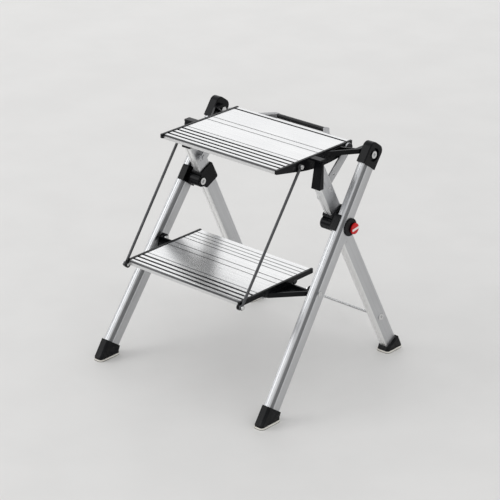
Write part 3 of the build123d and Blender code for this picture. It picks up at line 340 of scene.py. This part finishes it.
def push_button(name):
    """Red nylon with a pale bar, which is whatever stands out from the button's face."""
    material, place = new_finish(name)
    mottle = place.noise(120, 3)
    red = mottle.ramp(0.35, 0.7).blend(button_red, button_deep_red)
    bar = place.axis("X").ramp(button_face_x + bar_starts, button_face_x + bar_full)
    rubbed = place.noise(500, 4).ramp(0.55, 0.75)
    sockets = {
        "Base Color": (bar * (1 - rubbed * 0.12)).blend(red, bar_pale),
        "Roughness": 0.22 + mottle * 0.1 + rubbed * 0.08,
        "Specular IOR Level": 0.3,
    }
    coat(place, sockets, mottle, bump=0.05)
    return material


dress(push_button("red_push_button"), "lock_button")

# Return spring of the lock: a small coil of hard steel wire round the pin, between its seat in the pivot
# plate and the back of the button.
spring_wire = 0.0006
wire_sides = 12
coil_radius = 0.00375
spring_turns = 5
steps_in_turn = 32


def put_in_scene(name, data):
    thing = bpy.data.objects.new(name, data)
    bpy.context.scene.collection.objects.link(thing)
    return thing


def as_piece(name, shape, finish):
    """Turns a finished bmesh into an object with one finish."""
    mesh = bpy.data.meshes.new(name)
    shape.to_mesh(mesh)
    shape.free()
    mesh.materials.append(finish)
    return put_in_scene(name, mesh)


spring_low, spring_high = (Vector(corner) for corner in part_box("lock_spring"))
coil_middle = (spring_low + spring_high) / 2
coil_start = Vector((spring_low.x + spring_wire / 2, coil_middle.y, coil_middle.z + coil_radius))
coil_steps = spring_turns * steps_in_turn
coil_pitch = (spring_high.x - spring_low.x - spring_wire) / coil_steps
wire = bmesh.new()
section = Matrix.Translation(coil_start) @ Matrix.Rotation(math.radians(90), 4, "X")
bmesh.ops.create_circle(wire, segments=wire_sides, radius=spring_wire / 2, matrix=section)
bmesh.ops.spin(
    wire, geom=wire.verts[:] + wire.edges[:], cent=coil_middle, axis=(1, 0, 0),
    dvec=(coil_pitch, 0, 0), angle=2 * math.pi * spring_turns, steps=coil_steps,
)
bmesh.ops.holes_fill(wire, edges=wire.edges[:], sides=wire_sides)
bmesh.ops.recalc_face_normals(wire, faces=wire.faces[:])
for face in wire.faces:
    face.smooth = len(face.verts) == 4
spring = as_piece("return_spring", wire, bright_steel)
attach(spring, "front_frame")
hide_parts("lock_spring")
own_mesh(spring)

# Treads: two ribbed aluminium planks, extruded in one piece and sawn to length, satin anodised. Broad
# grooves run along the front, a fine pair along the middle, and fine ones along the back of the lower plank.
tread_aluminium = (0.86, 0.86, 0.855, 1)
tread_shade = (0.74, 0.742, 0.745, 1)
rib_shadow = (0.022, 0.022, 0.024, 1)
# Mill finish of the underside, painted darker as shade.
shaded_mill_finish = (0.50, 0.503, 0.51, 1)
groove_starts = (0.0002, 0.0006)
groove_ends = (0.0036, 0.0030)
underside_starts = (0.0037, 0.0041)
lip_ends = (0.0015, 0.0025)
lip_shade_and_dullness = 0.3
top_platform_height = 0.45
lower_platform_height = 0.225


def plank(name, top, front):
    """Extruded plank: lines along X, grooves painted dark as shade, walked-on rubs above, and a rougher mill
    finish below, painted darker as shade.
    """
    material, place = new_finish(name)
    below = top - place.axis("Z")
    behind_lip = (place.axis("Y") - front).ramp(*lip_ends)
    lines = place.noise(1100, 3, x=0.004)
    broad_lines = place.noise(170, 3, x=0.006)
    clouds = place.noise(14, 4, x=0.6)
    rubs = place.noise(45, 7, y=1.6).ramp(0.6, 0.76)
    tone = lines * 0.3 + broad_lines * 0.35 + clouds * 0.35
    base = tone.ramp(0.3, 0.68).blend(tread_shade, tread_aluminium)
    # The grooves are painted dark as shade.
    groove = below.ramp(*groove_starts) * below.ramp(*groove_ends)
    # Below the top the plank has a rougher mill finish, painted darker as shade; the front lip gets only part
    # of it.
    shaded_underside = below.ramp(*underside_starts) * (lip_shade_and_dullness + behind_lip * (1 - lip_shade_and_dullness))
    base = (shaded_underside * (0.8 + clouds * 0.3)).blend(base, shaded_mill_finish)
    sockets = {
        "Base Color": (groove * (0.8 + clouds * 0.3)).blend(base, rib_shadow),
        "Metallic": 0.9 - groove * 0.5,
        "Roughness": 0.17 + lines * 0.06 + clouds * 0.08 + rubs * 0.1 + groove * 0.3 + shaded_underside * 0.3,
    }
    coat(place, sockets, lines * 0.3 + broad_lines * 0.7, bump=0.04)
    return material


top_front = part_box("top_tread")[0][1]
lower_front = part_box("lower_tread")[0][1]
dress(plank("top_plank", top_platform_height, top_front), "top_tread")
dress(plank("lower_plank", lower_platform_height, lower_front), "lower_tread")

# End plates of the treads: black nylon mouldings screwed to the plank ends. Each has a hinge arm out to
# its front leg, and knobs for the tie rods' pins.
for plate in ("top_end_plate", "lower_end_plate"):
    dress(black_moulding, *both(plate))

# Tie rods: two long steel rods painted satin black, flattened to eyes at both ends, that fold the lower
# tread with the platform.
rod_paint = (0.055, 0.056, 0.06, 1)
rod_rubbed = (0.2, 0.2, 0.205, 1)


def painted_rod(name):
    """Satin black paint with a slight peel, rubbed lighter in places."""
    material, place = new_finish(name)
    peel = place.noise(1300, 2)
    second_colour_mask = place.noise(60, 7, x=2, y=2, z=0.5).ramp(0.58, 0.74)
    sockets = {
        "Base Color": (second_colour_mask * 0.5 + peel * 0.1).blend(rod_paint, rod_rubbed),
        "Metallic": 0.2,
        "Roughness": 0.36 + peel * 0.12 - second_colour_mask * 0.05,
    }
    coat(place, sockets, peel, bump=0.12)
    return material


dress(painted_rod("black_rod_paint"), *both("tie_rod"))

# Stays: flat bars of the same satin aluminium, pressed with round ends. Each turns on a pin in its rear leg
# and holds the back of the platform by a second pin.
stay_lean = math.radians(42.5)
dress(drawn_tube("stay_bar", stay_lean, 1, satin_aluminium), *both("stay"))

# Carry handle behind the platform: a grip of soft black nylon over a steel core, between two bent
# aluminium brackets that are screwed to the rear lip of the plank.
grip_black = (0.007, 0.0073, 0.0082, 1)
grip_worn = (0.026, 0.026, 0.027, 1)
bracket_satin = (0.34, 0.34, 0.345, 1)
bracket_bloom = (0.25, 0.25, 0.255, 1)


def handled_nylon(name):
    """Black nylon that hands have polished: a smooth gloss with dull patches."""
    material, place = new_finish(name)
    grain = place.noise(1400, 2)
    polish = place.noise(45, 4, x=0.4).ramp(0.35, 0.7)
    sockets = {
        "Base Color": (polish * 0.5 + grain * 0.1).blend(grip_black, grip_worn),
        "Roughness": 0.34 - polish * 0.08 + grain * 0.06,
        "Specular IOR Level": 0.28,
    }
    coat(place, sockets, grain, bump=0.06)
    return material


dress(handled_nylon("handled_nylon"), "handle_grip")
dress(plated("satin_bracket", bracket_satin, bracket_bloom, 0.26), *both("handle_bracket"))

# Cross rod: a thin bar of bright drawn steel between the rear legs near the floor. It goes through both legs
# and is riveted over washers.
bar_bright = (0.56, 0.56, 0.565, 1)
bar_dull = (0.40, 0.405, 0.41, 1)


def drawn_bar(name):
    """Drawn steel: fine lines along the bar, a few dull stains, and no grain across it."""
    material, place = new_finish(name)
    lines = place.noise(1200, 3, x=0.003)
    stains = place.noise(30, 5).ramp(0.5, 0.8)
    sockets = {
        "Base Color": (lines * 0.5 + stains * 0.3).blend(bar_bright, bar_dull),
        "Metallic": 1.0,
        "Roughness": 0.2 + lines * 0.1 + stains * 0.1,
    }
    coat(place, sockets, lines, bump=0.05, depth=0.0002)
    return material


dress(drawn_bar("drawn_cross_rod"), "cross_rod")

# Floor, soft lights and the camera: a wide pale floor, matt and faintly mottled, under an evenly lit studio.
# Three soft lamps stand round it, and the camera has the photo's place and angle.
floor_colour = (0.74, 0.73, 0.715, 1)
floor_reach = 6
horizon_grey = (0.36, 0.36, 0.37, 1)
overhead_white = (0.96, 0.97, 0.98, 1)
stool_middle = (0, 0, 0.25)
camera_lens = 145.5
camera_sensor = 36
camera_turn = math.radians(41.8)
camera_rise = math.radians(23.35)
camera_distance = 3.851
camera_target = Vector((0, -0.01076, 0.2263))


def pale_floor(name):
    material, place = new_finish(name)
    mottle = place.noise(6, 5)
    paint = mottle.ramp(0.3, 0.7).blend(floor_colour, tint(floor_colour, 0.97))
    sockets = {"Base Color": paint, "Roughness": 0.6 + mottle * 0.1}
    shader = place.node("ShaderNodeBsdfPrincipled", None, sockets)
    place.node("ShaderNodeOutputMaterial", None, {"Surface": shader})
    return material


boards = bmesh.new()
bmesh.ops.create_grid(boards, x_segments=1, y_segments=1, size=floor_reach)
as_piece("floor", boards, pale_floor("pale_floor"))

world = bpy.data.worlds.new("studio")
bpy.context.scene.world = world
world.use_nodes = True
world.node_tree.nodes.clear()
sky = Surface(world.node_tree)
direction = sky.node("ShaderNodeTexCoord", None, None, 0)
upward = direction.axis("Z").ramp(-0.1, 0.9)
glow = upward.blend(horizon_grey, overhead_white)
backdrop = sky.node("ShaderNodeBackground", None, {"Color": glow, "Strength": 1.0})
sky.node("ShaderNodeOutputWorld", None, {"Surface": backdrop})


def aim(thing, place, sight):
    """Puts a lamp or camera at a place and turns it along the line of sight."""
    thing.location = place
    thing.rotation_euler = sight.to_track_quat("-Z", "Y").to_euler()


def soft_light(name, place, width, height, power):
    lamp = bpy.data.lights.new(name, "AREA")
    lamp.shape = "RECTANGLE"
    lamp.size = width
    lamp.size_y = height
    lamp.energy = power
    aim(put_in_scene(name, lamp), place, Vector(stool_middle) - Vector(place))


soft_light("key", place=(-2.1, -2.15, 1.95), width=1.9, height=1.9, power=22)
soft_light("fill", place=(2.6, -1.0, 1.2), width=1.2, height=1.2, power=5)
soft_light("back", place=(-2.1, 2.35, 1.5), width=4.0, height=2.2, power=13.5)

camera_data = bpy.data.cameras.new("camera")
camera_data.lens = camera_lens
camera_data.sensor_width = camera_sensor
camera = put_in_scene("camera", camera_data)
back = Vector((
    math.sin(camera_turn) * math.cos(camera_rise),
    -math.cos(camera_turn) * math.cos(camera_rise),
    math.sin(camera_rise),
))
aim(camera, camera_target + back * camera_distance, -back)
bpy.context.scene.camera = camera

bpy.context.scene.view_settings.view_transform = "Standard"
